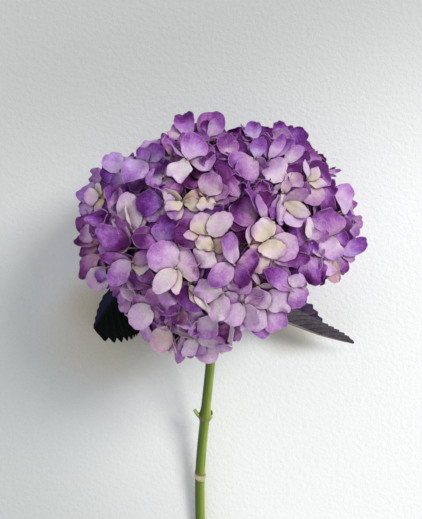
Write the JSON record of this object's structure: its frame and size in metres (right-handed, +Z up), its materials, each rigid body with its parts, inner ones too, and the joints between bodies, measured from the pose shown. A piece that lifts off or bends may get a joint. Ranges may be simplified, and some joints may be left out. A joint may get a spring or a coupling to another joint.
{
  "type": "hydrangea flower head",
  "caption": "Cut mophead hydrangea bloom with violet and cream florets, lying on a surface on its side, with its stem and serrated leaves.",
  "frame": {"origin": "the flat spot on the surface that the bloom rests on, under the middle of its dome", "axes": "+Z up from the surface, +Y from the cut end of the stem towards the crown, +X to the right as seen from above"},
  "size_m": [0.2, 0.3543, 0.1793],
  "materials": {
    "sepals": "soft matt petals, violet to lilac with cream centres",
    "stem": "smooth green skin with a slight gloss",
    "leaf_dark": "near-black green, slight gloss, navy where the sky reflects",
    "leaf_mauve": "purple-brown above, grey-mauve with raised veins below"
  },
  "bodies": {
    "root": {"flower_head": "sepals", "stem": "stem", "leaf_left": "leaf_dark", "leaf_right": "leaf_mauve"}
  },
  "joints": []
}
